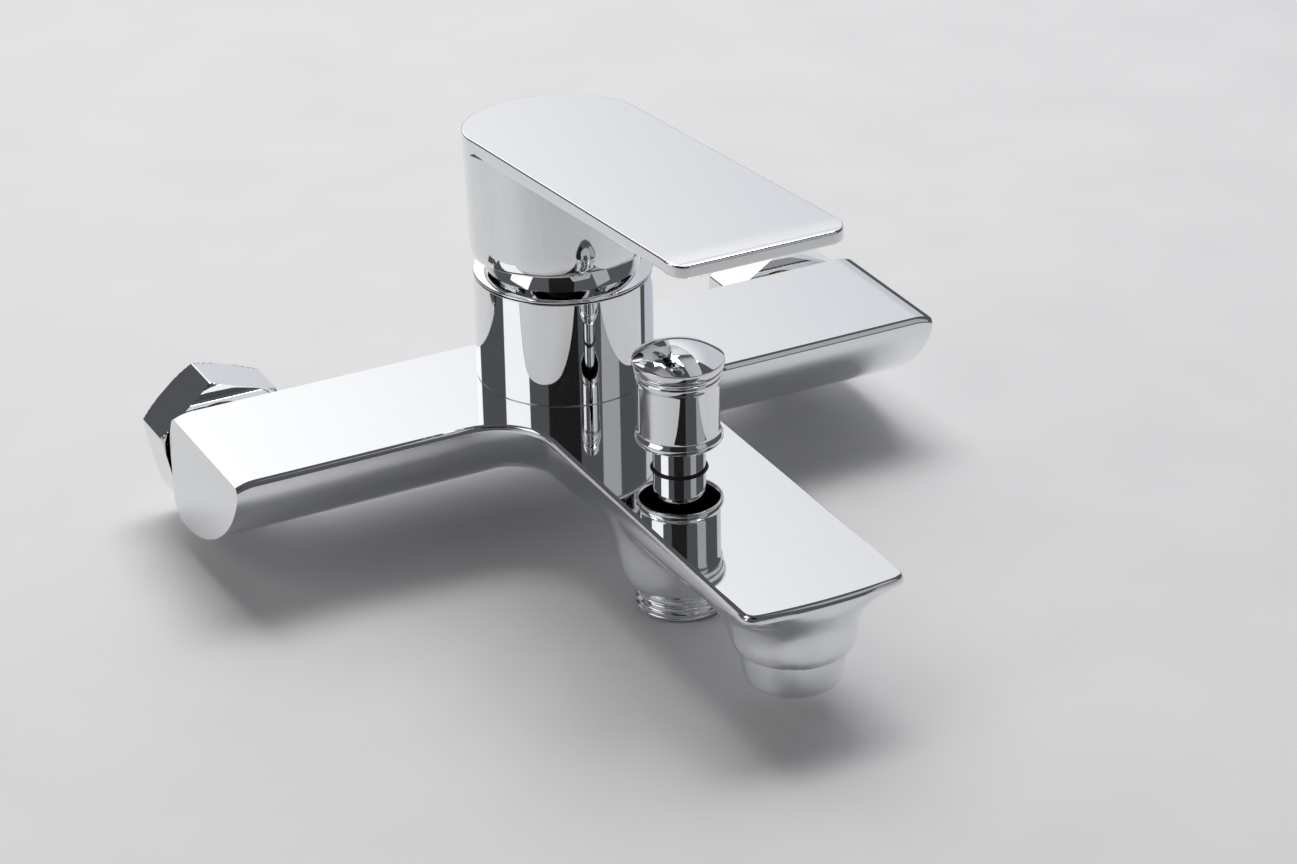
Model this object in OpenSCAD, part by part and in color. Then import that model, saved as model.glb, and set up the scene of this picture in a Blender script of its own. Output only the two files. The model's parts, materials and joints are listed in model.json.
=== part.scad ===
// Wall mounted single lever bath and shower mixer.
// Millimetres. The origin is midway between the two inlets, on the plane of the coupling nuts' wall side.
// X runs along the bar, -Y towards the user and +Z up.

/* [Body] */
// Distance between the two inlet axes
inlet_spacing = 150; // [148:1:152]
// Length of the bar between its end faces
bar_len = 180; // [178:1:190]
// Height of the flat deck above the inlet axes
deck_z = 14; // [13.5:0.5:15]
// Distance from the wall plane to the turret's axis
turret_reach = 40.5; // [40.5:0.5:44]
// Width of the spout
spout_w = 39; // [38:1:42]
// Distance from the turret's axis to the spout's tip
spout_reach = 125; // [124:1:130]
// Distance from the turret's axis to the diverter's axis
diverter_reach = 57; // [56:1:60]
// Distance from the turret's axis to the aerator's axis
aerator_reach = 108.5; // [107:0.5:110]

/* [Turret] */
// Outer radius of the turret sleeve
sleeve_r = 20.85; // [20.6:0.05:21]
// Height of the turret sleeve
sleeve_h = 25.8; // [25.6:0.1:25.9]

/* [Lever] */
// Radius of the lever's hub
hub_r = 21; // [20.8:0.1:21.4]
// Distance from the hub's axis to the front edge of the lever
lever_reach = 98.6; // [85:1:110]
// Thickness of the lever's blade
blade_t = 3.4; // [3:0.1:4]
// Angle that the lever stands above its closed stop
lever_tilt = 4.8; // [0:0.1:8]

/* [Diverter] */
// Radius of the diverter stem
stem_r = 5.95; // [5.9:0.01:5.98]
// Height of the knob's lower rim above the deck when it is pulled up
knob_gap = 7.2; // [7:0.1:9]

/* [Connections] */
// Width across the flats of a coupling nut
nut_af = 30; // [30:0.5:32]
// Length of a coupling nut
nut_len = 13.5; // [13:0.1:13.5]
// Radius of the coupling nuts' thread bore
nut_thread_r = 12.1; // [12.06:0.01:12.2]
// Outer radius of the shower outlet's thread
outlet_thread_r = 10.48; // [10.4:0.01:10.5]
// Length of the shower outlet's thread
outlet_thread_l = 6.4; // [6:0.1:9]

/* [Hidden] */
$fn = 72;
eps = 0.01;

// Bar section, measured from the turret's axis and down from the deck
bar_front = 17.8;
bar_back = 22.2;
back_bulge = 3.1;
bulge_drop = 12;
bar_depth = 27.6;
keel_y = 17;
keel_power = 1.62;
rim_h = 1.8;
heel_r = 5.4;
droop = 1;
droop_len = 4.6;
fillet_r = 15;
fillet_w = 11;
belly_power = 1.85;
// Reach and depth of each spout section, from under the turret to the tip
stations = [[0, 25.5], [35, 22.5], [95, 15.8], [spout_reach - 16, 12.4], [spout_reach - 7, 7.5],
    [spout_reach - 0.02, 2.6]];

// Waterways
inlet_y = 0;
way_r = 5.5;
port_x = 6.2;
port_y = -4;
port_r = 3.4;
outlet_port_y = 8;
outlet_port_r = 3.6;
well_r = 17.6;
well_floor = -3;
well_wall_r = 19;
well_top = 24;
spigot_r = 8.95;
chamber_r = 8.5;
chamber_floor = -21;
chamber_roof = -3.2;
boss_floor = -27.5;
nipple_spigot_r = 9.9;
feed_z = -14;
spout_way_z = -9.5;
spout_way_r = 4.5;
aerator_bore_r = 10.2;
aerator_face = -18.2;

// Cartridge, measured up from the deck
pivot_z = 22;
disc_z = 2;
disc_t = 3;
arm_len = 10.5;
disc_shift = -arm_len * sin(lever_tilt);
carrier_z = disc_z + 2 * disc_t;
carrier_t = 5;
housing_top = carrier_z + carrier_t + 6.5;
rotor_neck_r = 9.93;

// Lever in its closed pose, measured up from the deck
hub_foot = 30.9;
blade_top = 60.96;
hub_wall = 1.6;
relief_y = 10;
screw_z = 47;
socket_half = 4.55;
stem_half = 4.5;
ball_r = 19;

// Knob and its domed cap, outlet bore and the spring's coils
knob_solid_z = 22;
dome_z = knob_gap + 17.8;
dome_h = 3.2;
dome_r = 10.3;
dome_ball_r = (dome_r * dome_r + dome_h * dome_h) / (2 * dome_h);
spring_turns = 3;
spring_steps = 16;
spring_sides = 6;
nipple_bore_r = 8.2;

chrome = [0.85, 0.86, 0.88];
brass = [0.8, 0.65, 0.3];
ceramic = [0.95, 0.94, 0.9];
plastic = [0.9, 0.9, 0.88];
rubber = [0.08, 0.08, 0.08];
steel = [0.6, 0.6, 0.62];

// Frames on the deck, over each vertical axis
module at_turret() translate([0, -turret_reach, deck_z]) children();
module at_diverter() translate([0, -turret_reach - diverter_reach, deck_z]) children();
module at_aerator() translate([0, -turret_reach - aerator_reach, deck_z]) children();
// Frame on an inlet's axis, on the wall plane, with the local z axis towards the wall
module at_inlet(side) translate([side * inlet_spacing / 2, 0, 0]) rotate([-90, 0, 0]) children();
// Frame of the lever, tipped up about the cartridge's pivot
module in_lever() at_turret() translate([0, 0, pivot_z]) rotate([-lever_tilt, 0, 0])
    translate([0, 0, -pivot_z]) children();

module tube(r_out, r_in, z0, z1) {
    translate([0, 0, z0]) difference() {
        cylinder(r = r_out, h = z1 - z0);
        translate([0, 0, -eps]) cylinder(r = r_in, h = z1 - z0 + 2 * eps);
    }
}

// Section of the bar: flat top, rim, swept keel, round heel and a bulging back
function keel_points() = [for (t = [0 : 6 : 90])
    [keel_y - (keel_y + bar_front) * pow(cos(t), 2 / keel_power),
     -rim_h - (bar_depth - rim_h) * pow(sin(t), 2 / keel_power)]];
function heel_points() = [for (t = [-75 : 15 : 0])
    [bar_back + back_bulge - heel_r + heel_r * cos(t), -bar_depth + heel_r + heel_r * sin(t)]];
function back_points() = [for (t = [90 : -15 : 0])
    [bar_back + back_bulge * sin(t), -bulge_drop * (1 - cos(t))]];
module bar_section() polygon(concat([[-bar_front, 0]], keel_points(), heel_points(), back_points()));

// Front view of the bar: the deck droops to both end faces
function end_curve(side) = [for (k = [0 : 4]) let (s = side > 0 ? 4 - k : k)
    [side * (bar_len / 2 - droop_len * s / 4), -droop * pow((4 - s) / 4, 2)]];
module bar_front_view() polygon(concat([[-bar_len / 2, -40], [bar_len / 2, -40]],
    [for (k = [4 : -1 : 0]) end_curve(1)[k]], [for (k = [4 : -1 : 0]) end_curve(-1)[k]]));

module bar_shape() intersection() {
    translate([-bar_len / 2, 0, 0]) rotate([90, 0, 90]) linear_extrude(bar_len) bar_section();
    translate([0, 40, 0]) rotate([90, 0, 0]) linear_extrude(80) bar_front_view();
}

// Section of the spout at a depth: flat top, rim and a rounded belly
function belly_points(depth) = [for (t = [0 : 10 : 180])
    [spout_w / 2 * sign(cos(t)) * pow(abs(cos(t)), 2 / belly_power),
     -rim_h - (depth - rim_h) * pow(sin(t), 2 / belly_power)]];
module spout_slice(reach, depth) translate([0, -reach, 0]) rotate([90, 0, 0]) linear_extrude(0.02)
    polygon(concat([[-spout_w / 2, 0], [spout_w / 2, 0]], belly_points(depth)));

// Plan of the spout, with round front corners
module spout_plan() {
    corner_r = 3;
    translate([-spout_w / 2, -spout_reach + corner_r]) square([spout_w, spout_reach - corner_r]);
    translate([-spout_w / 2 + corner_r, -spout_reach]) square([spout_w - 2 * corner_r, spout_reach]);
    for (s = [-1, 1]) translate([s * (spout_w / 2 - corner_r), -spout_reach + corner_r])
        circle(r = corner_r);
}

module spout_shape() intersection() {
    union() for (k = [0 : len(stations) - 2]) hull() {
        spout_slice(stations[k][0], stations[k][1]);
        spout_slice(stations[k + 1][0], stations[k + 1][1]);
    }
    translate([0, 0, -40]) linear_extrude(41) spout_plan();
}

// Inside corners where the bar meets the spout: a quarter turn of the keel's own curve
module corner_fillets() for (s = [-1, 1])
    translate([s * (spout_w / 2 + fillet_r), -bar_front - fillet_r, 0]) intersection() {
        rotate_extrude() polygon(concat([[fillet_r, 0]],
            [for (p = keel_points()) if (p[0] + bar_front < fillet_w)
                [fillet_r + p[0] + bar_front + 0.05, p[1] + 0.05]],
            [[fillet_r + fillet_w, -14], [fillet_r + fillet_w, 0]]));
        translate([s > 0 ? -40 : 0, 0, -30]) cube([40, 40, 40]);
    }

module shower_boss() rotate_extrude() polygon([[0, -4], [17.2, -4], [16.7, -9.5], [15.3, -18.5],
    [14, -23.7], [13, -26.6], [12.3, boss_floor], [0, boss_floor]]);
module aerator_boss() rotate_extrude() polygon([[0, -4], [14.2, -4], [14.1, -12], [13.8, -15.8],
    [13.4, -17.4], [12.8, aerator_face], [0, aerator_face]]);

module body() color(chrome) difference() {
    union() {
        at_turret() {
            bar_shape();
            spout_shape();
            corner_fillets();
            translate([0, 0, -2]) cylinder(r = well_wall_r, h = well_top + 2);
        }
        at_diverter() shower_boss();
        at_aerator() aerator_boss();
    }
    at_turret() {
        translate([0, 0, well_floor]) cylinder(r = well_r, h = 40);
        for (s = [-1, 1]) {
            translate([s * port_x, port_y, feed_z + 2.8])
                cylinder(r = port_r, h = well_floor - feed_z - 1.8);
            translate([s * (port_x - 1), inlet_y, -deck_z]) rotate([0, s * 90, 0])
                cylinder(r = way_r, h = inlet_spacing / 2 - port_x + 1);
        }
        translate([0, outlet_port_y, feed_z]) cylinder(r = outlet_port_r, h = well_floor - feed_z + 1);
        translate([0, outlet_port_y, feed_z]) rotate([90, 0, 0])
            cylinder(r = outlet_port_r, h = diverter_reach + outlet_port_y);
        translate([0, -diverter_reach, spout_way_z]) rotate([90, 0, 0])
            cylinder(r = spout_way_r, h = aerator_reach - diverter_reach);
    }
    for (s = [-1, 1]) at_inlet(s) {
        translate([0, 0, -turret_reach + inlet_y - 3]) cylinder(r = 7, h = 40);
        translate([0, 0, -27.2]) cylinder(r = spigot_r, h = 40);
    }
    at_diverter() {
        translate([0, 0, chamber_floor]) cylinder(r = chamber_r, h = chamber_roof - chamber_floor);
        translate([0, 0, boss_floor - 1]) cylinder(r = nipple_spigot_r, h = chamber_floor - boss_floor + 1);
        translate([0, 0, chamber_roof - 1]) cylinder(r = 6.55, h = 6);
    }
    at_aerator() translate([0, 0, aerator_face - 1]) cylinder(r = aerator_bore_r, h = 12.2);
}

module turret_sleeve() color(chrome) at_turret() tube(sleeve_r, well_wall_r + 0.05, 0, sleeve_h);

// Cover ring under the lever: skirt inside the sleeve, bead, shoulder and a dome round the pivot
module cover_ring() color(chrome) at_turret() difference() {
    union() {
        rotate_extrude($fn = 120) polygon([[0, well_top + 0.3], [18.9, well_top + 0.3], [18.9, 26],
            [20.8, 26], [20.95, 26.15], [20.95, 26.4], [20.75, 26.65], [18.3, 27.8], [0, 27.8]]);
        translate([0, 0, pivot_z]) intersection() {
            sphere(r = ball_r, $fn = 120);
            translate([0, 0, 4]) cylinder(r = 30, h = 30);
        }
    }
    translate([0, 0, pivot_z]) sphere(r = ball_r - 1.4, $fn = 120);
    translate([0, 0, pivot_z]) cylinder(r = 12, h = 30);
}

module cartridge_housing() color(plastic) at_turret() rotate_extrude() polygon([[15.2, disc_z],
    [17.4, disc_z], [17.4, housing_top], [10, housing_top], [10, housing_top - 3.2],
    [15.2, housing_top - 3.2]]);

module port_places(r, z, h) {
    for (s = [-1, 1]) translate([s * port_x, port_y, z]) cylinder(r = r, h = h);
    translate([0, outlet_port_y, z]) cylinder(r = r + outlet_port_r - port_r, h = h);
}

module cartridge_base() color(plastic) at_turret() difference() {
    translate([0, 0, well_floor]) cylinder(r = 17.4, h = disc_z - well_floor);
    port_places(port_r, well_floor - 1, 10);
    port_places(port_r + 1.9, well_floor - 1, 2.4);
}

module port_seals() color(rubber) at_turret() difference() {
    port_places(port_r + 1.8, well_floor, 1.4);
    port_places(port_r + 0.1, well_floor - 1, 4);
}

module fixed_disc() color(ceramic) at_turret() difference() {
    translate([0, 0, disc_z]) cylinder(r = 14.5, h = disc_t);
    port_places(port_r - 0.6, disc_z - 1, disc_t + 2);
}

module moving_disc() color(ceramic) at_turret() translate([0, disc_shift, disc_z + disc_t]) difference() {
    cylinder(r = 11.3, h = disc_t);
    translate([-7, -0.6, -1]) cube([14, 9, 2.6]);
}

module disc_carrier() color(plastic) at_turret() translate([0, disc_shift, carrier_z]) difference() {
    cylinder(r = 11, h = carrier_t);
    translate([0, 0, 1]) cylinder(r = 2.5, h = carrier_t);
}

module cartridge_rotor() color(plastic) at_turret() difference() {
    union() {
        translate([0, 0, carrier_z + carrier_t + 0.2]) cylinder(r = 14.5, h = 3);
        translate([0, 0, carrier_z + carrier_t + 1]) cylinder(r = rotor_neck_r, h = 13.5);
    }
    translate([-4.6, -7.4, 5]) cube([9.2, 14.2, 30]);
    translate([-15, 0, pivot_z]) rotate([0, 90, 0]) cylinder(r = 1.5, h = 30);
}

module stem_pin() color(steel) at_turret() translate([-9, 0, pivot_z]) rotate([0, 90, 0])
    cylinder(r = 1.5, h = 18);

// Threaded ring with a hex collar that clamps the cartridge down
module cartridge_nut() color(brass) at_turret() difference() {
    union() {
        translate([0, 0, housing_top]) cylinder(r = 17.5, h = 3);
        translate([0, 0, housing_top + 2]) cylinder(r = 16.6, h = 4.4, $fn = 6);
    }
    translate([0, 0, housing_top - 1]) cylinder(r = 11.5, h = 12);
}

module lever_stem() color(steel) in_lever() difference() {
    union() {
        translate([-stem_half, -stem_half, pivot_z - 4]) cube([2 * stem_half, 2 * stem_half, 36]);
        translate([0, 0, pivot_z - arm_len]) cylinder(r = 1.9, h = arm_len);
        translate([0, 0, pivot_z - arm_len]) sphere(r = 2.4);
    }
    translate([-15, 0, pivot_z]) rotate([0, 90, 0]) cylinder(r = 1.55, h = 30);
}

// Plan of the lever: a round back over the hub and a square front with small corners
module lever_plan() {
    corner_r = 3.5;
    circle(r = hub_r, $fn = 120);
    translate([-hub_r + 0.1, -lever_reach + corner_r]) square([2 * hub_r - 0.2, lever_reach - corner_r]);
    translate([-hub_r + 0.1 + corner_r, -lever_reach]) square([2 * (hub_r - 0.1 - corner_r), lever_reach]);
    for (s = [-1, 1]) translate([s * (hub_r - 0.1 - corner_r), -lever_reach + corner_r])
        circle(r = corner_r);
}

module lever() color(chrome) in_lever() difference() {
    union() {
        rotate_extrude($fn = 120) polygon([[0, hub_foot], [hub_r - 0.6, hub_foot], [hub_r - 0.35, 31.4],
            [hub_r - 0.15, 32.4], [hub_r, 34.2], [hub_r, blade_top], [0, blade_top]]);
        translate([0, 0, blade_top - blade_t]) linear_extrude(blade_t) lever_plan();
    }
    difference() {
        translate([0, 0, hub_foot - 1]) cylinder(r = hub_r - hub_wall, h = 20.1);
        translate([0, 0, 42]) cylinder(r = 8, h = 20);
        translate([-4.5, 0, 42]) cube([9, 25, 10]);
    }
    translate([-socket_half, -socket_half, 40]) cube([2 * socket_half, 2 * socket_half, 14]);
    translate([0, 0, screw_z]) rotate([-90, 0, 0]) cylinder(r = 2.55, h = 30);
    translate([0, 18.2, screw_z]) rotate([-90, 0, 0]) cylinder(r = 3.6, h = 10);
    // Relief that lets the back of the hub tip down past the cover ring
    translate([-30, relief_y, hub_foot]) rotate([22, 0, 0]) translate([0, 0, -20]) cube([60, 40, 20]);
}

module set_screw() color(steel) in_lever() translate([0, socket_half, screw_z]) rotate([-90, 0, 0])
    difference() {
        cylinder(r = 2.5, h = 10);
        translate([0, 0, 7]) cylinder(r = 1.45, h = 5, $fn = 6);
    }

module screw_plug() color(chrome) in_lever() translate([0, 18.3, screw_z]) rotate([-90, 0, 0])
    cylinder(r = 3.55, h = 2.2);

// Knob: lip, straight skirt and two beads, hollow underneath
module diverter_knob() color(chrome) at_diverter() difference() {
    translate([0, 0, knob_gap]) rotate_extrude() polygon([[0, 0], [9.6, 0], [10, 0.7], [10, 1.7],
        [9.6, 2.6], [9.2, 4], [9.2, 14.1], [9.6, 14.8], [9.65, 15.8], [9.35, 16.4], [9.8, 16.9],
        [9.8, 17.8], [0, 17.8]]);
    translate([0, 0, knob_gap - 1]) cylinder(r = 8, h = knob_solid_z - knob_gap + 1);
    translate([0, 0, knob_solid_z - 1]) cylinder(r = 4, h = 10);
}

// Domed cap on the knob
module knob_cap() color(chrome) at_diverter() {
    translate([0, 0, dome_z]) cylinder(r1 = dome_r - 0.6, r2 = dome_r, h = 0.6 + eps);
    translate([0, 0, dome_z + 0.6]) cylinder(r = dome_r, h = 0.9 + eps);
    translate([0, 0, dome_z + 1.5]) intersection() {
        translate([0, 0, dome_h - dome_ball_r]) sphere(r = dome_ball_r, $fn = 120);
        cylinder(r = dome_r, h = dome_h + 1);
    }
}

module diverter_stem() color(chrome) at_diverter() {
    translate([0, 0, -18.2]) cylinder(r = stem_r, h = knob_solid_z + 18.2);
    translate([0, 0, knob_solid_z - 1]) cylinder(r = 3.95, h = 3.9);
}

module valve_disc() color(brass) at_diverter() translate([0, 0, -20.7]) cylinder(r = 7.8, h = 2.5);
module valve_washer() color(rubber) at_diverter() translate([0, 0, -22.2]) cylinder(r = 7.7, h = 1.5);

// Black seal ring that shows round the stem at the deck
module diverter_seal() color(rubber) at_diverter() rotate_extrude() polygon([[6, -1.4], [6.5, -1.4],
    [6.5, 0.15], [6.35, 0.35], [6.1, 0.35], [6, 0.2]]);

module diverter_bush() color(brass) at_diverter() difference() {
    tube(chamber_r - 0.02, 6, -11, chamber_roof);
    for (z = [-9.4, -6.2]) translate([0, 0, z]) cylinder(r = 7.3, h = 1.8);
}

module diverter_orings() color(rubber) at_diverter()
    for (z = [-8.5, -5.3]) translate([0, 0, z]) rotate_extrude()
        translate([6.65, 0]) circle(r = 0.6, $fn = 24);

// Coil spring under the bush, as a tube of short straight lengths
function coil(k, j) = let (a = k * 360 / spring_steps, r = 7.15 + 0.5 * cos(j * 360 / spring_sides))
    [r * cos(a), r * sin(a),
     -17.6 + 6 * k / (spring_turns * spring_steps) + 0.5 * sin(j * 360 / spring_sides)];
module diverter_spring() color(steel) at_diverter() let (n = spring_turns * spring_steps, m = spring_sides)
    polyhedron(points = [for (k = [0 : n], j = [0 : m - 1]) coil(k, j)],
        faces = concat([[for (j = [0 : m - 1]) j]], [[for (j = [m - 1 : -1 : 0]) n * m + j]],
            [for (k = [0 : n - 1], j = [0 : m - 1]) let (q = (j + 1) % m)
                [k * m + j, (k + 1) * m + j, (k + 1) * m + q]],
            [for (k = [0 : n - 1], j = [0 : m - 1]) let (q = (j + 1) % m)
                [k * m + j, (k + 1) * m + q, k * m + q]]));

module shower_nipple() color(chrome) at_diverter() difference() {
    union() {
        translate([0, 0, boss_floor]) cylinder(r = nipple_spigot_r - 0.02, h = chamber_floor - boss_floor);
        translate([0, 0, boss_floor - outlet_thread_l]) cylinder(r = outlet_thread_r, h = outlet_thread_l);
    }
    translate([0, 0, -29.4]) cylinder(r = nipple_bore_r, h = 20);
    translate([0, 0, -60]) cylinder(r = 6, h = 50);
}

module aerator_housing() color(chrome) at_aerator() translate([0, 0, aerator_face]) difference() {
    rotate_extrude() polygon([[0, -8.4], [9.9, -8.4], [10.6, -8.1], [10.9, -7.5], [11.3, -3.5],
        [11.5, -0.6], [11.3, -0.2], [aerator_bore_r - 0.02, -0.2], [aerator_bore_r - 0.02, 6.4], [0, 6.4]]);
    translate([0, 0, -7.6]) cylinder(r = 9, h = 20);
    translate([0, 0, -12]) cylinder(r = 8.4, h = 10);
}

module aerator_insert() color(plastic) at_aerator() translate([0, 0, aerator_face]) difference() {
    translate([0, 0, -7.6]) cylinder(r = 8.98, h = 13.4);
    for (ring = [1 : 3], k = [0 : 6 * ring - 1]) rotate([0, 0, k * 60 / ring])
        translate([ring * 2.1, 0, -9]) cylinder(r = 0.6, h = 16, $fn = 16);
}

module aerator_washer() color(rubber) at_aerator()
    tube(aerator_bore_r - 0.05, 7.5, aerator_face + 6.4, aerator_face + 8.4);

// Hex nut with a chamfered wall side, a thread bore and a shoulder that pulls on the nipple's flange
module coupling_nut(side, turn) color(chrome) at_inlet(side) difference() {
    intersection() {
        rotate([0, 0, turn]) translate([0, 0, -nut_len])
            cylinder(r = nut_af / sqrt(3), h = nut_len, $fn = 6);
        rotate_extrude() polygon([[0, -nut_len], [nut_af / 2 + 1.2, -nut_len],
            [nut_af / 2 + 3, -nut_len + 1], [nut_af / 2 + 3, -1.6], [nut_af / 2 + 0.4, 0], [0, 0]]);
    }
    translate([0, 0, -nut_len - 1]) cylinder(r = 10.4, h = 10);
    translate([0, 0, -10.4]) cylinder(r = 12.6, h = 4.4);
    translate([0, 0, -7]) cylinder(r = nut_thread_r, h = 10);
    translate([0, 0, -0.8]) cylinder(r1 = nut_thread_r, r2 = nut_thread_r + 1, h = 0.8 + eps);
}

// Tail piece screwed into the bar: spigot, neck and flange
module inlet_nipple(side) color(brass) at_inlet(side) difference() {
    union() {
        translate([0, 0, -27.2]) cylinder(r = spigot_r - 0.02, h = 12.2);
        translate([0, 0, -15]) cylinder(r = 10, h = 5);
        translate([0, 0, -10.2]) cylinder(r = 11.7, h = 2.2);
    }
    translate([0, 0, -30]) cylinder(r = 7, h = 30);
}

module inlet_washer(side) color(rubber) at_inlet(side) tube(11.6, 7.2, -8, -6.1);

body();
turret_sleeve();
cover_ring();
cartridge_housing();
cartridge_base();
fixed_disc();
port_seals();
cartridge_nut();
cartridge_rotor();
stem_pin();
moving_disc();
disc_carrier();
lever();
lever_stem();
set_screw();
screw_plug();
diverter_knob();
knob_cap();
diverter_stem();
valve_disc();
valve_washer();
diverter_seal();
diverter_bush();
diverter_orings();
diverter_spring();
shower_nipple();
aerator_housing();
aerator_insert();
aerator_washer();
coupling_nut(-1, 18.4);  // coupling_nut_left
coupling_nut(1, 27.5);  // coupling_nut_right
inlet_nipple(-1);  // inlet_nipple_left
inlet_nipple(1);  // inlet_nipple_right
inlet_washer(-1);  // inlet_washer_left
inlet_washer(1);  // inlet_washer_right
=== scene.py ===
import json
import math

import bmesh
import bpy
import numpy as np
from mathutils import Matrix, Vector


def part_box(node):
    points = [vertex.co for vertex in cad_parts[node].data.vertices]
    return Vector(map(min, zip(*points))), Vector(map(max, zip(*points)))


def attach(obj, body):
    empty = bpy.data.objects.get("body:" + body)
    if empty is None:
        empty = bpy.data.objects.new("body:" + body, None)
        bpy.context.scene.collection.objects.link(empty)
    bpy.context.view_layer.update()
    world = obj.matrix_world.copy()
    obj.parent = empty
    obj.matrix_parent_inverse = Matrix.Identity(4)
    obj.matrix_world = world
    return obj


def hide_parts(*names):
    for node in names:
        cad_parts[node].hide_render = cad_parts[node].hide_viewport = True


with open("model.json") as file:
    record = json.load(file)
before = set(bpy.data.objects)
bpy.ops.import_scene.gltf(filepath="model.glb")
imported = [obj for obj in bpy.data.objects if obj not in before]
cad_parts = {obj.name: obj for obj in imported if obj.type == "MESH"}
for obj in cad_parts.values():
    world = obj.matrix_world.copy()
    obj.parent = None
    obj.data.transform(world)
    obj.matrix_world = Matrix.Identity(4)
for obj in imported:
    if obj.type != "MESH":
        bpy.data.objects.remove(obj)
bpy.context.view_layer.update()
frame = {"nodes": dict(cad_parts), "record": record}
MM = 0.001

# Driving dimensions in millimetres: the deck above the inlets, and reaches from the wall or the turret
DECK_Z = 14.0
TURRET_REACH = 40.5
DIVERTER_REACH = 57
AERATOR_REACH = 108.5
INLET_OFFSET = 75
PIVOT_Z = 22
LEVER_TILT = 4.8
SCREW_Z = 47


def node_lo_hi(name):
    lo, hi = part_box(name)
    return np.array(lo), np.array(hi)


# ---------------------------------------------------------------- materials
def new_material(name):
    m = bpy.data.materials.new(name)
    m.use_nodes = True
    m.node_tree.nodes.clear()
    out = m.node_tree.nodes.new("ShaderNodeOutputMaterial")
    b = m.node_tree.nodes.new("ShaderNodeBsdfPrincipled")
    m.node_tree.links.new(b.outputs[0], out.inputs[0])
    return m, b


def grain(m, scale, detail=2.0, stretch=(1, 1, 1)):
    nt = m.node_tree
    tc = nt.nodes.new("ShaderNodeTexCoord")
    mp = nt.nodes.new("ShaderNodeMapping")
    mp.inputs["Scale"].default_value = stretch
    no = nt.nodes.new("ShaderNodeTexNoise")
    no.inputs["Scale"].default_value = scale
    no.inputs["Detail"].default_value = detail
    nt.links.new(tc.outputs["Object"], mp.inputs[0])
    nt.links.new(mp.outputs[0], no.inputs["Vector"])
    return no.outputs["Fac"]


def vary(m, b, fac, socket, lo, hi):
    nt = m.node_tree
    r = nt.nodes.new("ShaderNodeMapRange")
    r.inputs["From Min"].default_value = 0.3
    r.inputs["From Max"].default_value = 0.7
    r.inputs["To Min"].default_value = lo
    r.inputs["To Max"].default_value = hi
    nt.links.new(fac, r.inputs["Value"])
    nt.links.new(r.outputs[0], b.inputs[socket])


def tint(m, b, fac, lo, hi):
    nt = m.node_tree
    r = nt.nodes.new("ShaderNodeValToRGB")
    r.color_ramp.elements[0].position = 0.3
    r.color_ramp.elements[1].position = 0.7
    r.color_ramp.elements[0].color = (*lo, 1)
    r.color_ramp.elements[1].color = (*hi, 1)
    nt.links.new(fac, r.inputs[0])
    nt.links.new(r.outputs[0], b.inputs["Base Color"])


def bump(m, b, fac, strength, distance):
    nt = m.node_tree
    u = nt.nodes.new("ShaderNodeBump")
    u.inputs["Strength"].default_value = strength
    u.inputs["Distance"].default_value = distance
    nt.links.new(fac, u.inputs["Height"])
    nt.links.new(u.outputs[0], b.inputs["Normal"])


def surface(name, lo, hi, metallic, rough, scale, bump_mm, stretch=(1, 1, 1), strength=1.0):
    m, b = new_material(name)
    b.inputs["Metallic"].default_value = metallic
    fine = grain(m, scale, 3.0, stretch)
    broad = grain(m, scale / 12, 2.0)
    vary(m, b, broad, "Roughness", rough[0], rough[1])
    tint(m, b, fine, lo, hi)
    bump(m, b, fine, strength, bump_mm * MM)
    return m


chrome = surface("chrome_plate", (0.835, 0.842, 0.855), (0.85, 0.857, 0.868), 1.0, (0.03, 0.045), 900,
    0.001, strength=0.05)
brass = surface("turned_brass", (0.62, 0.42, 0.16), (0.78, 0.56, 0.26), 1.0, (0.2, 0.34), 1500, 0.01)
ceramic = surface("lapped_ceramic", (0.86, 0.84, 0.78), (0.93, 0.92, 0.88), 0.0, (0.15, 0.25), 1200,
    0.003)
plastic = surface("moulded_plastic", (0.72, 0.72, 0.70), (0.80, 0.80, 0.78), 0.0, (0.35, 0.5), 1800, 0.01)
rubber = surface("seal_rubber", (0.008, 0.008, 0.008), (0.02, 0.02, 0.02), 0.0, (0.45, 0.65), 2500, 0.015)
steel = surface("drawn_steel", (0.50, 0.50, 0.51), (0.62, 0.62, 0.63), 1.0, (0.22, 0.36), 1500, 0.006, (1,
    1, 0.1))
LOOK = {"chrome": chrome, "brass": brass, "ceramic": ceramic, "plastic": plastic, "rubber": rubber,
    "steel": steel}

slot_of = {p["node"]: p["material_slot"] for p in frame["record"]["subparts"]}
for node, ob in frame["nodes"].items():
    ob.data.materials.clear()
    ob.data.materials.append(LOOK[slot_of[node]])

# ---------------------------------------------------------------- meshes
def union_round(a, b, r):
    return np.maximum(r, np.minimum(a, b)) - np.hypot(np.maximum(r - a, 0), np.maximum(r - b, 0))


def meet_round(a, b, r):
    return np.minimum(-r, np.maximum(a, b)) + np.hypot(np.maximum(r + a, 0), np.maximum(r + b, 0))


def belly(across, down, half, depth, power):
    """Distance to a quarter superellipse: across and down are measured from its centre."""
    u = np.maximum(across, 0) / half
    v = np.maximum(down, 0) / depth
    h = np.maximum((u ** power + v ** power) ** (1 / power), 1e-6)
    gu = h ** (1 - power) * u ** (power - 1) / half
    gv = h ** (1 - power) * v ** (power - 1) / depth
    return (h - 1) / np.maximum(np.hypot(gu, gv), 1e-6)


def lathe_field(rad, z, profile):
    zs = [p[1] for p in profile][::-1]
    rs = [p[0] for p in profile][::-1]
    return (rad - np.interp(z, zs, rs)) * 0.97


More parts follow.
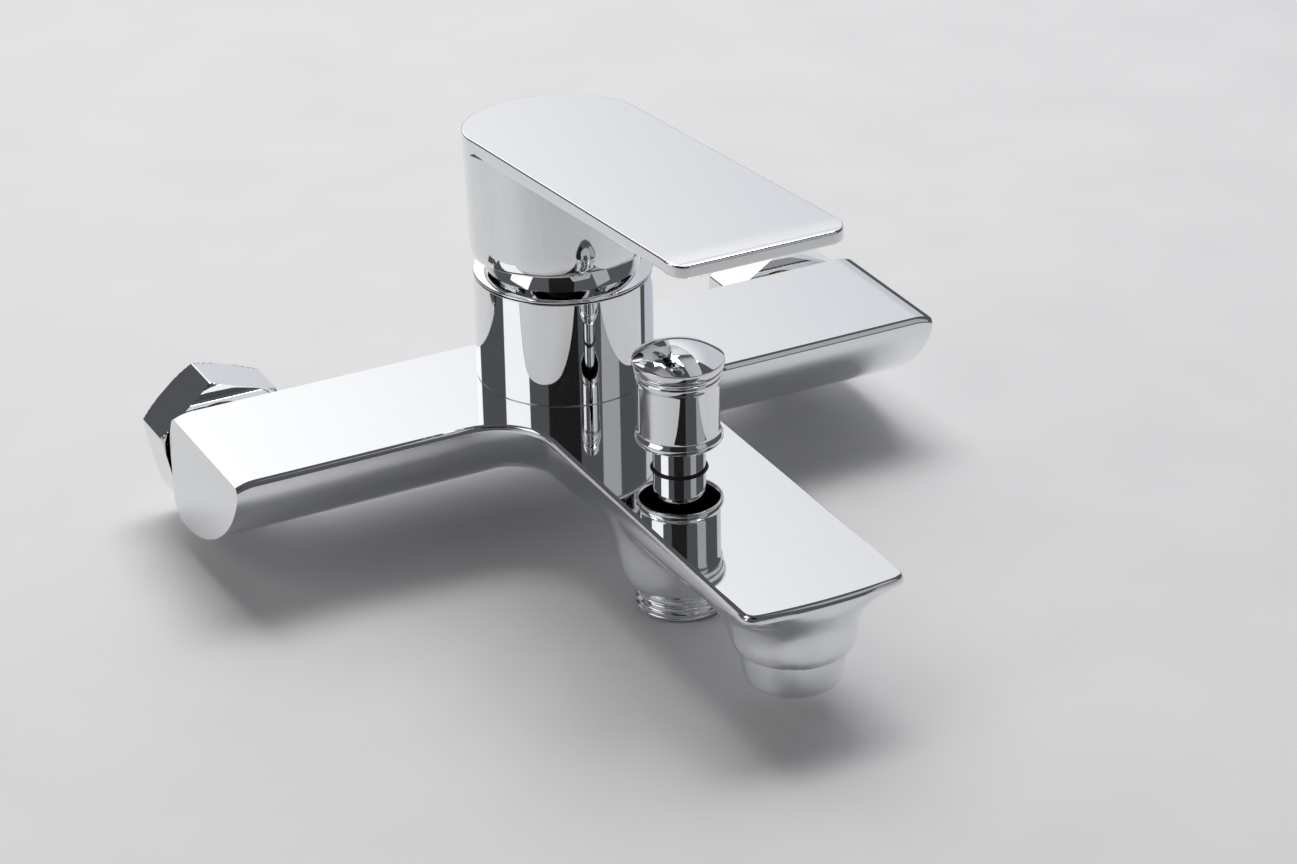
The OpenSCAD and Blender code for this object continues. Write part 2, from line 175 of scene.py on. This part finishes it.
BOSS_SHOWER = [(17.6, 0), (17.3, -4), (16.5, -9.5), (15.9, -14), (15.1, -18.5), (14.0, -23.7), (13.2,
    -26.0), (12.5, -27.4), (12.0, -30)]
BOSS_AERATOR = [(14.1, 0), (14.0, -12), (13.8, -15.5), (13.4, -17.2), (13.0, -18.2), (12.9, -20)]


def body_field(x, y, z):
    keel = belly(17 - y, -1.6 - z, 34.8, 25.9, 1.62)
    zc = np.clip(z, -11, 0)
    rear = y - (22.2 + 3.1 * (1 - (1 + zc / 11) ** 2))
    bar = meet_round(keel, rear, 5.0)
    depth = np.interp(-y, [0, 35, 57, 83, 95, 108, 118, 124.8, 130], [25.0, 22.0, 19.6, 17.0, 15.4, 12.0,
        7.8, 3.4, 2.6])
    under = belly(np.abs(x), -1.9 - z, 19.5, depth - 1.9, 1.85)
    front = -(y + 124.8 - 1.4 * (x / 19.5) ** 2)
    spout = np.maximum(meet_round(under, front, 3.0), y - 4)
    r_in = 15 - 8 * np.clip(-z / 18, 0, 1)
    f = union_round(bar, spout, r_in)
    rad = np.hypot(x, y + DIVERTER_REACH)
    shower = meet_round(lathe_field(rad, z, BOSS_SHOWER), -27.5 - z, 0.7)
    f = union_round(f, np.maximum(shower, z + 6), 3.0)
    rad = np.hypot(x, y + AERATOR_REACH)
    aer = meet_round(lathe_field(rad, z, BOSS_AERATOR), -18.2 - z, 0.7)
    f = union_round(f, np.maximum(aer, z + 3), 6.0)
    f = meet_round(f, front, 0.6)
    return f + 0.42 * np.maximum(0, z + 1.4) + 0.9 * np.maximum(0, z + 0.4)


def surface_net(field, gx, gy, gz, steps=5):
    X, Y, Z = np.meshgrid(gx, gy, gz, indexing="ij")
    F = field(X, Y, Z)
    inside = F < 0
    c = [inside[i:inside.shape[0] - 1 + i, j:inside.shape[1] - 1 + j, k:inside.shape[2] - 1 + k]
         for i in (0, 1) for j in (0, 1) for k in (0, 1)]
    n = sum(a.astype(np.int8) for a in c)
    active = (n > 0) & (n < 8)
    idx = -np.ones(active.shape, int)
    I = np.argwhere(active)
    idx[active] = np.arange(len(I))
    pos = np.zeros((len(I), 3))
    cnt = np.zeros(len(I))
    G = (gx, gy, gz)
    for ax in range(3):
        oth = [a for a in range(3) if a != ax]
        for s in (0, 1):
            for t in (0, 1):
                a = I.copy()
                a[:, oth[0]] += s
                a[:, oth[1]] += t
                b = a.copy()
                b[:, ax] += 1
                fa, fb_ = F[tuple(a.T)], F[tuple(b.T)]
                ok = (fa < 0) != (fb_ < 0)
                w = np.where(ok, fa / np.where(ok, fa - fb_, 1), 0)
                pa = np.stack([G[q][a[:, q]] for q in range(3)], 1)
                pb = np.stack([G[q][b[:, q]] for q in range(3)], 1)
                pos += np.where(ok[:, None], pa + w[:, None] * (pb - pa), 0)
                cnt += ok
    pos /= cnt[:, None]
    quads = []
    for ax in range(3):
        o1, o2 = (ax + 1) % 3, (ax + 2) % 3
        sl_a = [slice(None)] * 3
        sl_b = [slice(None)] * 3
        sl_a[ax] = slice(0, -1)
        sl_b[ax] = slice(1, None)
        ia, ib = inside[tuple(sl_a)], inside[tuple(sl_b)]
        E = np.argwhere(ia != ib)
        E = E[(E[:, o1] > 0) & (E[:, o2] > 0) & (E[:, o1] < idx.shape[o1]) & (E[:, o2] < idx.shape[o2])]
        sgn = ia[tuple(E.T)]
        loop = []
        for d1, d2 in ((1, 1), (0, 1), (0, 0), (1, 0)):
            q = E.copy()
            q[:, o1] -= d1
            q[:, o2] -= d2
            loop.append(idx[tuple(q.T)])
        L = np.stack(loop, 1)
        L[~sgn] = L[~sgn][:, ::-1]
        quads.append(L)
    quads = np.concatenate(quads)
    quads = quads[(quads >= 0).all(1)]
    e = 0.02
    for _ in range(steps):
        f0 = field(*pos.T)
        g = np.stack([(field(*(pos + e * d).T) - field(*(pos - e * d).T)) / (2 * e) for d in np.eye(3)],
            1)
        g2 = np.maximum((g ** 2).sum(1), 0.05)
        step = -(f0 / g2)[:, None] * g
        ln = np.linalg.norm(step, axis=1)
        step *= np.minimum(1, 0.6 / np.maximum(ln, 1e-9))[:, None]
        pos += step
    return pos, quads


def on_plane(v, co, no):
    return abs((v.co - Vector(co)).dot(Vector(no))) < 1e-3


def cut(bm, co, no):
    bmesh.ops.bisect_plane(bm, geom=bm.verts[:] + bm.edges[:] + bm.faces[:], dist=1e-4,
                           plane_co=co, plane_no=no, clear_outer=True)


def close_cut(bm, co, no):
    """Closes each open loop that lies in a plane with one flat face."""
    rim = {e for e in bm.edges if len(e.link_faces) < 2 and all(on_plane(v, co, no) for v in e.verts)}
    while rim:
        e = rim.pop()
        loop = [e.verts[0], e.verts[1]]
        while loop[-1] != loop[0]:
            nxt = [q for q in loop[-1].link_edges if q in rim]
            if not nxt:
                break
            rim.discard(nxt[0])
            loop.append(nxt[0].other_vert(loop[-1]))
        if loop[-1] == loop[0] and len(loop) > 3:
            f = bm.faces.new(loop[:-1])
            f.normal_update()
            if f.normal.dot(Vector(no)) < 0:
                f.normal_flip()


def build_body():
    gx = np.arange(-93, 93.1, 1.25)
    gy = np.arange(-127, 28.1, 1.25)
    gz = np.concatenate([np.arange(-30, -6, 1.2), np.arange(-6, -1.9, 0.6), np.arange(-1.8, 0.7, 0.2)])
    verts, quads = surface_net(body_field, gx, gy, gz)
    me = bpy.data.meshes.new("casting")
    me.from_pydata(verts.tolist(), [], quads.tolist())
    bm = bmesh.new()
    bm.from_mesh(me)
    planes = [((90, 0, 0), (1, 0, 0)), ((-90, 0, 0), (-1, 0, 0)), ((0, 0, 0), (0, 0, 1))]
    for co, no in planes:
        cut(bm, co, no)
    for co, no in planes[:2]:
        bm.edges.new([v for v in bm.verts if on_plane(v, co, no) and on_plane(v, (0, 0, 0), (0, 0, 1))])
    for co, no in planes:
        close_cut(bm, co, no)
    return bm


def split_at(bm, axis, values):
    for v in values:
        co, no = [0, 0, 0], [0, 0, 0]
        co[axis], no[axis] = v, 1
        bmesh.ops.bisect_plane(bm, geom=bm.verts[:] + bm.edges[:] + bm.faces[:], dist=1e-4, plane_co=co,
            plane_no=no)


def finish_mesh(bm, name, place, mat, body, nodes, bevel=None, bevel_angle=50, angle=35, bores=()):
    for v in bm.verts:
        v.co = place(v.co)
    me = bpy.data.meshes.new(name)
    bm.normal_update()
    bm.to_mesh(me)
    bm.free()
    ob = bpy.data.objects.new(name, me)
    bpy.context.collection.objects.link(ob)
    me.materials.append(mat)
    me.polygons.foreach_set("use_smooth", [True] * len(me.polygons))
    if bevel:
        b = ob.modifiers.new("edges", "BEVEL")
        b.width = bevel * MM
        b.segments = 5
        b.limit_method = "ANGLE"
        b.angle_limit = math.radians(bevel_angle)
        b.use_clamp_overlap = False
    for cutter in bores:
        m = ob.modifiers.new("bore", "BOOLEAN")
        m.operation = "DIFFERENCE"
        m.solver = "EXACT"
        m.object = cutter
    if bevel or bores:
        dg = bpy.context.evaluated_depsgraph_get()
        me2 = bpy.data.meshes.new_from_object(ob.evaluated_get(dg))
        ob.modifiers.clear()
        ob.data = me2
        me2.name = name
        me2.polygons.foreach_set("use_smooth", [True] * len(me2.polygons))
    ob.data.set_sharp_from_angle(angle=math.radians(angle))
    w = ob.modifiers.new("normals", "WEIGHTED_NORMAL")
    w.keep_sharp = True
    w.weight = 100
    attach(ob, body)
    if nodes:
        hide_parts(*nodes)
    return ob


def rounded(points, r, steps=4, least=25):
    """Puts a small arc on each corner of an open outline."""
    out = [points[0]]
    for a, b, c in zip(points, points[1:], points[2:]):
        a, b, c = (np.array(q, float) for q in (a, b, c))
        u, v = a - b, c - b
        lu, lv = np.linalg.norm(u), np.linalg.norm(v)
        turn = math.degrees(math.acos(np.clip(-(u @ v) / (lu * lv), -1, 1)))
        if turn < least:
            out.append(tuple(b))
            continue
        t = min(r, 0.4 * lu, 0.4 * lv)
        p, q = b + u / lu * t, b + v / lv * t
        for k in range(steps + 1):
            s = k / steps
            out.append(tuple((1 - s) ** 2 * p + 2 * s * (1 - s) * b + s * s * q))
    out.append(points[-1])
    return out


def lathe(profile, seg=144, closed=False, radius=None):
    """A turned mesh. radius(angle, r, z) may change the radius at each point, as on a hex or a thread."""
    bm = bmesh.new()
    rings = []
    for r, z in profile:
        if r < 1e-6:
            rings.append([bm.verts.new((0, 0, z))])
            continue
        ring = []
        for k in range(seg):
            a = 2 * math.pi * k / seg
            q = radius(a, r, z) if radius else r
            ring.append(bm.verts.new((q * math.cos(a), q * math.sin(a), z)))
        rings.append(ring)
    pairs = list(zip(rings, rings[1:]))
    if closed:
        pairs.append((rings[-1], rings[0]))
    for a, b in pairs:
        for k in range(seg):
            n = (k + 1) % seg
            if len(a) == 1 and len(b) == 1:
                continue
            if len(a) == 1:
                bm.faces.new((a[0], b[n], b[k]))
            elif len(b) == 1:
                bm.faces.new((a[k], a[n], b[0]))
            else:
                bm.faces.new((a[k], a[n], b[n], b[k]))
    bmesh.ops.recalc_face_normals(bm, faces=bm.faces[:])
    return bm


def turned(name, profile, place, mat, body, nodes, closed=False, seg=144, radius=None, angle=35):
    return finish_mesh(lathe(profile, seg, closed, radius), name, place, mat, body, nodes,
        angle=angle)


def at(dy):
    return lambda p: Vector(((p[0]) * MM, (p[1] - TURRET_REACH - dy) * MM, (p[2] + DECK_Z) * MM))


def cutter(name, r, z0, z1, place, seg=96):
    bm = lathe([(0, z0), (r, z0), (r, z1), (0, z1)], seg)
    for v in bm.verts:
        v.co = place(v.co)
    me = bpy.data.meshes.new(name)
    bm.to_mesh(me)
    bm.free()
    ob = bpy.data.objects.new(name, me)
    bpy.context.collection.objects.link(ob)
    return ob


turret, divert, aerate = at(0), at(DIVERTER_REACH), at(AERATOR_REACH)


def inlet(side):
    return lambda p: Vector((side * INLET_OFFSET * MM + p[0] * MM, p[2] * MM, -p[1] * MM))


# body casting
bm = build_body()
split_at(bm, 0, [s * v for s in (-1, 1) for v in np.arange(85.4, 89.9, 0.45)])
for v in bm.verts:
    over = abs(v.co.x) - 85.4
    if over > 0:
        v.co.z -= (over / 4.6) ** 2 * max(0.0, min(1.0, 1 + v.co.z / 8))
bores = [cutter("cut_well", 17.6, -3, 10, turret), cutter("cut_stem", 6.55, -10, 10, divert),
         cutter("cut_chamber", 8.5, -22, -3.2, divert), cutter("cut_nipple", 9.9, -40, -21, divert),
         cutter("cut_aerator", 10.2, -40, -7, aerate),
         cutter("cut_hot", 8.95, -27.2, 5, inlet(-1)), cutter("cut_cold", 8.95, -27.2, 5, inlet(1))]
finish_mesh(bm, "body_casting", turret, chrome, "fixture", ["body"], bores=bores,
    angle=28)
for c in bores:
    bpy.data.objects.remove(c)

# turret
turned("sleeve", rounded([(19.05, 0.1), (20.85, 0.0), (20.85, 25.75), (19.05, 25.75)], 0.25), turret,
    chrome,
       "fixture", ["turret_sleeve"], closed=True, seg=192)
dome = [(19 * math.cos(a), 22 + 19 * math.sin(a)) for a in np.linspace(math.asin(5.8 / 19),
    math.acos(12 / 19), 24)]
under = [(17.6 * math.cos(a), 22 + 17.6 * math.sin(a)) for a in np.linspace(math.acos(12 / 17.6),
    math.asin(2.3 / 17.6), 16)]
ring = rounded([(17.45, 24.3), (18.9, 24.3), (18.9, 26.0), (20.75, 26.0), (20.95, 26.2), (20.95, 26.42),
    (20.7, 26.68), (18.3, 27.7)], 0.1)
turned("cover", ring + dome + under[:-1], turret, chrome, "fixture", ["cover_ring"],
    closed=True, seg=192)

# diverter
turned("knob", rounded([(0, 22), (8.6, 22), (8.9, 7.9), (9.3, 7.25), (9.7, 7.4), (9.92, 7.9), (9.9, 8.6),
    (9.6, 9.1), (9.3, 9.5),
                        (9.2, 10.1), (9.2, 21.2), (9.55, 22), (9.65, 22.6), (9.62, 23.2), (9.35, 23.6),
                            (9.75, 24.0),
                        (9.9, 24.4), (9.75, 24.95), (0, 24.95)], 0.25), divert, chrome, "diverter",
                            ["diverter_knob"])
ball = (10.3 ** 2 + 3.2 ** 2) / 6.4
capd = [(ball * math.sin(a), 30.2 - ball + ball * math.cos(a))
    for a in np.linspace(math.asin(10.25 / ball), 0, 20)]
turned("cap", rounded([(0, 25), (9.6, 25), (10.15, 25.4), (10.3, 25.9), (10.3, 26.7)] + capd, 0.2),
    divert, chrome,
       "diverter", ["knob_cap"])
turned("stem", rounded([(0, -18.2), (5.95, -18.2), (5.95, 22), (3.95, 22), (3.95, 24.9), (0, 24.9)], 0.2),
    divert, chrome,
       "diverter", ["diverter_stem"])
turned("stem_seal", rounded([(6, -1.4), (6.5, -1.4), (6.5, 0.1), (6.3, 0.34), (6.1, 0.34), (6, 0.2)],
    0.08), divert, rubber,
       "fixture", ["diverter_seal"], closed=True)


def thread(pitch, depth, z_top, z_low):
    def radius(a, r, z):
        if r < 10.4 or z > z_top - 0.25 or z < z_low + 0.25:
            return r
        t = ((z + pitch * a / (2 * math.pi)) / pitch) % 1.0
        wave = 0.5 - 0.5 * math.cos(2 * math.pi * t)
        fade = min(1.0, (z_top - 0.25 - z) / 0.5, (z - z_low - 0.25) / 0.5)
        return r - depth * (wave ** 0.8) * max(0.0, fade)
    return radius


zs = np.linspace(-27.55, -33.9, 52)
nip = [(8.2, -29.4), (8.2, -21.05), (9.88, -21.05), (9.88, -27.55)] + [(10.45 if 0 < i < 51 else 10.0, z)
    for i, z in enumerate(zs)]
nip += [(9.7, -33.9), (6.0, -33.9), (6.0, -29.4)]
turned("outlet", nip, divert, chrome, "fixture", ["shower_nipple"], closed=True, seg=160,
       radius=thread(1.814, 1.0, -27.8, -33.7), angle=60)

# aerator
turned("aerator", rounded([(9.02, -11.9), (10.18, -11.9), (10.18, -18.35), (11.2, -18.35), (11.48, -18.7),
    (11.35, -21),
                           (11.15, -23.5), (10.95, -25.3), (10.6, -26.2), (9.8, -26.58), (8.7, -26.58),
                               (8.4, -26.3),
                           (8.4, -25.82), (9.02, -25.82)], 0.2),
       aerate, chrome, "fixture", ["aerator_housing"], closed=True)


# coupling nuts
def hexed(turn):
    def radius(a, r, z):
        if r < 13.4:
            return r
        t = (a - turn + math.pi / 6) % (math.pi / 3) - math.pi / 6
        flat = 15 / math.cos(t)
        k = 0.25
        h = max(k - abs(flat - r), 0) / k
        return min(flat, r) - h * h * k / 4
    return radius


for side, turn, node in ((-1, 18.4, "coupling_nut_left"), (1, 27.5, "coupling_nut_right")):
    wall = [(16.2, -13.5), (16.6, -13.3), (17.0, -13.0), (17.5, -12.6), (18.0, -12.3)] + [(18.0, z)
        for z in np.linspace(-12, -1.9, 22)]
    wall += [(17.9, -1.6), (17.4, -1.3), (16.9, -1.0), (16.4, -0.65), (15.9, -0.3), (15.4, -0.02)]
    prof = [(10.4, -10.4), (10.4, -13.2), (10.7, -13.5), (13.5, -13.5)] + wall + [(13.2, 0), (12.1, -0.8),
        (12.1, -6.0), (12.6, -6.0), (12.6, -10.4)]
    off = math.radians(turn) + math.pi / 6
    turned("nut_" + ("left" if side < 0 else "right"), prof, inlet(side), chrome, "nut_left"
        if side < 0 else "nut_right",
           [node], closed=True, seg=360, radius=hexed(off), angle=25)


# lever, built level and then tipped up about the cartridge's pivot
def build_lever():
    R, half, front, top, under, foot = 21.0, 20.9, -98.6, 60.96, 57.56, 30.9
    n = 96
    rear = [(R * math.cos(a), R * math.sin(a)) for a in np.linspace(0, math.pi, n + 1)]
    hub_front = [(R * math.cos(a), R * math.sin(a)) for a in np.linspace(math.pi, 2 * math.pi, n + 1)]
    cr = 4.0
    left = [(-half, y) for y in (-2.0, front + cr)]
    c1 = [(-half + cr - cr * math.cos(a), front + cr - cr * math.sin(a)) for a in np.linspace(0,
        math.pi / 2, 9)][1:]
    c2 = [(-x, y) for x, y in c1[::-1]]
    path = left + c1 + c2 + [(-x, y) for x, y in left[::-1]][0:]
    bm = bmesh.new()

    def ring(pts, z):
        return [bm.verts.new((x, y, z)) for x, y in pts]

    rt, pt = ring(rear, top), ring(path, top)
    pb = ring(path, under)
    ends = [bm.verts.new((rear[-1][0], 0, under)), bm.verts.new((rear[0][0], 0, under))]
    bm.faces.new(rt + pt)
    walk_t = [rt[-1]] + pt + [rt[0]]
    walk_b = [ends[0]] + pb + [ends[1]]
    for k in range(len(walk_t) - 1):
        bm.faces.new((walk_t[k], walk_t[k + 1], walk_b[k + 1], walk_b[k]))
    hf = [ends[0]] + ring(hub_front[1:-1], under) + [ends[1]]
    bm.faces.new(walk_b + hf[::-1][1:-1])
    rb = [ends[1]] + ring(rear[1:-1], under) + [ends[0]]
    for k in range(n):
        bm.faces.new((rt[k], rt[k + 1], rb[k + 1], rb[k]))
    upper = rb[:-1] + hf[:-1]
    prof = [(21, 50), (21, 44), (21, 38), (21, 35.5), (21, 34.2), (20.95, 33.2), (20.85, 32.4), (20.7,
        31.7), (20.5, 31.2), (20.25, 30.95),
            (20.0, 30.9), (19.6, 30.95), (19.42, 31.2), (19.4, 34), (19.4, 38), (19.4, 44), (19.4, 50),
                (8, 50), (8, 42), (6.43, 42)]
    prev = upper
    m = len(upper)
    ang = [math.atan2(v.co.y, v.co.x) for v in upper]
    for r, z in prof:
        cur = []
        for a in ang:
            y = r * math.sin(a)
            rise = max(0.0, y - 10) * 0.404
            w = max(0.0, min(1.0, (46 - z) / 11)) if r > 19 else 0.0
            cur.append(bm.verts.new((r * math.cos(a), y, z + rise * w)))
        for k in range(m):
            q = (k + 1) % m
            bm.faces.new((prev[k], prev[q], cur[q], cur[k]))
        prev = cur
    bm.faces.new(prev[::-1])
    bmesh.ops.recalc_face_normals(bm, faces=bm.faces[:])
    split_at(bm, 1, [-30, -45, -60, -75, -88, -91, -92.6, -93.8, -95, -96.2, -97.4])
    for v in bm.verts:
        if v.co.y < -20.9 and abs(v.co.z - under) < 0.01:
            v.co.z += 0.6 * min(1.0, (-v.co.y - 21) / 77)
        if v.co.y < -92.6:
            v.co.z -= ((-v.co.y - 92.6) / 6) ** 2
    return bm


def lever_place(p):
    t = math.radians(LEVER_TILT)
    y, z = p[1], p[2] - PIVOT_Z
    return turret((p[0], y * math.cos(t) + z * math.sin(t), PIVOT_Z + z * math.cos(t) - y * math.sin(t)))


plug_hole = cutter("cut_plug", 3.6, 18.2, 24, lambda p: lever_place((p[0], p[2], SCREW_Z - p[1])))
finish_mesh(build_lever(), "lever_blade", lever_place, chrome, "lever_arm", ["lever"],
    bevel=0.5, bevel_angle=55,
                       bores=[plug_hole])
bpy.data.objects.remove(plug_hole)

# ---------------------------------------------------------------- setting
floor_z = min(node_lo_hi("shower_nipple")[0][2], node_lo_hi("aerator_housing")[0][2],
              node_lo_hi("coupling_nut_left")[0][2]) - 0.0006
bpy.ops.mesh.primitive_plane_add(size=6.0, location=(0, 0, floor_z))
floor = bpy.context.object
floor.name = "floor"
fm, fb = new_material("pale_floor")
g = grain(fm, 30, 2.0)
tint(fm, fb, g, (0.80, 0.80, 0.80), (0.83, 0.83, 0.83))
vary(fm, fb, g, "Roughness", 0.5, 0.6)
floor.data.materials.append(fm)


def aim(ob, pos, target, roll=0.0):
    d = (Vector(target) - Vector(pos)).normalized()
    q = d.to_track_quat("-Z", "Y")
    ob.matrix_world = Matrix.Translation(pos) @ q.to_matrix().to_4x4() @ Matrix.Rotation(roll, 4, "Z")


def softbox(name, pos, target, size, power, colour=(1, 1, 1)):
    L = bpy.data.lights.new(name, "AREA")
    L.shape = "RECTANGLE"
    L.size, L.size_y = size
    L.energy = power
    L.color = colour
    ob = bpy.data.objects.new(name, L)
    bpy.context.collection.objects.link(ob)
    aim(ob, pos, target)
    return ob


def card(name, pos, target, size, grey):
    me = bpy.data.meshes.new(name)
    w, h = size[0] / 2, size[1] / 2
    me.from_pydata([(-w, -h, 0), (w, -h, 0), (w, h, 0), (-w, h, 0)], [], [(0, 1, 2, 3)])
    ob = bpy.data.objects.new(name, me)
    bpy.context.collection.objects.link(ob)
    aim(ob, pos, target)
    m, b = new_material(name)
    gr = grain(m, 3.0)
    tint(m, b, gr, (grey,) * 3, (grey * 1.1,) * 3)
    b.inputs["Roughness"].default_value = 0.9
    me.materials.append(m)
    ob.visible_camera = False
    return ob


bpy.context.scene.view_settings.view_transform = "Standard"
world = bpy.data.worlds.new("studio")
bpy.context.scene.world = world
world.use_nodes = True
world.node_tree.nodes["Background"].inputs[0].default_value = (0.92, 0.94, 1.0, 1)
world.node_tree.nodes["Background"].inputs[1].default_value = 0.10

aim_at = Vector((0.0, -0.07, 0.01))


def around(azimuth, elevation, distance):
    """A point seen from the object: azimuth is measured from the camera's side, positive to its right."""
    a = math.radians(-27.1 + azimuth)
    e = math.radians(elevation)
    return aim_at + distance * Vector((math.sin(a) * math.cos(e), -math.cos(a) * math.cos(e),
        math.sin(e)))


panel = card("back_panel", around(174, 34, 1.3), aim_at, (2.2, 1.3), 0.8)
pm = panel.data.materials[0]
nt = pm.node_tree
nt.nodes.clear()
out = nt.nodes.new("ShaderNodeOutputMaterial")
glow = nt.nodes.new("ShaderNodeEmission")
ramp = nt.nodes.new("ShaderNodeValToRGB")
grad = nt.nodes.new("ShaderNodeTexGradient")
place = nt.nodes.new("ShaderNodeMapping")
where = nt.nodes.new("ShaderNodeTexCoord")
place.vector_type = "TEXTURE"
place.inputs["Location"].default_value = (-0.42, -0.1, 0)
place.inputs["Rotation"].default_value = (0, 0, math.radians(32))
place.inputs["Scale"].default_value = (0.85, 0.85, 1)
ramp.color_ramp.interpolation = "EASE"
ramp.color_ramp.elements[0].color = (0.42, 0.43, 0.46, 1)
ramp.color_ramp.elements[1].color = (0.86, 0.86, 0.86, 1)
glow.inputs["Strength"].default_value = 1.45
nt.links.new(where.outputs["Object"], place.inputs[0])
nt.links.new(place.outputs[0], grad.inputs[0])
nt.links.new(grad.outputs[0], ramp.inputs[0])
nt.links.new(ramp.outputs[0], glow.inputs[0])
nt.links.new(glow.outputs[0], out.inputs[0])
softbox("top_panel", around(180, 74, 1.2), aim_at, (0.9, 0.5), 8.5)
softbox("left_panel", around(-66, 30, 1.2), aim_at, (0.7, 0.9), 2.2)
softbox("right_panel", around(62, 30, 1.2), aim_at, (0.5, 0.8), 0.4)
card("dark_front", around(-2, 32, 1.15), aim_at, (0.75, 0.9), 0.01)

# ---------------------------------------------------------------- camera
yaw, pitch, roll = math.radians(-27.107), math.radians(27.367), math.radians(-0.901)
back = Vector((math.sin(yaw) * math.cos(pitch), -math.cos(yaw) * math.cos(pitch), math.sin(pitch)))
right0 = Vector((math.cos(yaw), math.sin(yaw), 0))
up0 = back.cross(right0)
right = math.cos(roll) * right0 + math.sin(roll) * up0
up = -math.sin(roll) * right0 + math.cos(roll) * up0
target = Vector((1.635, -79.52, 14.0)) * MM
eye = target + back * 816.5 * MM
cam_data = bpy.data.cameras.new("camera")
cam_data.sensor_width = 36
cam_data.lens = 100
cam_data.clip_start = 0.01
cam = bpy.data.objects.new("camera", cam_data)
bpy.context.collection.objects.link(cam)
rot = Matrix((right, up, back)).transposed()
cam.matrix_world = Matrix.Translation(eye) @ rot.to_4x4()
bpy.context.scene.camera = cam
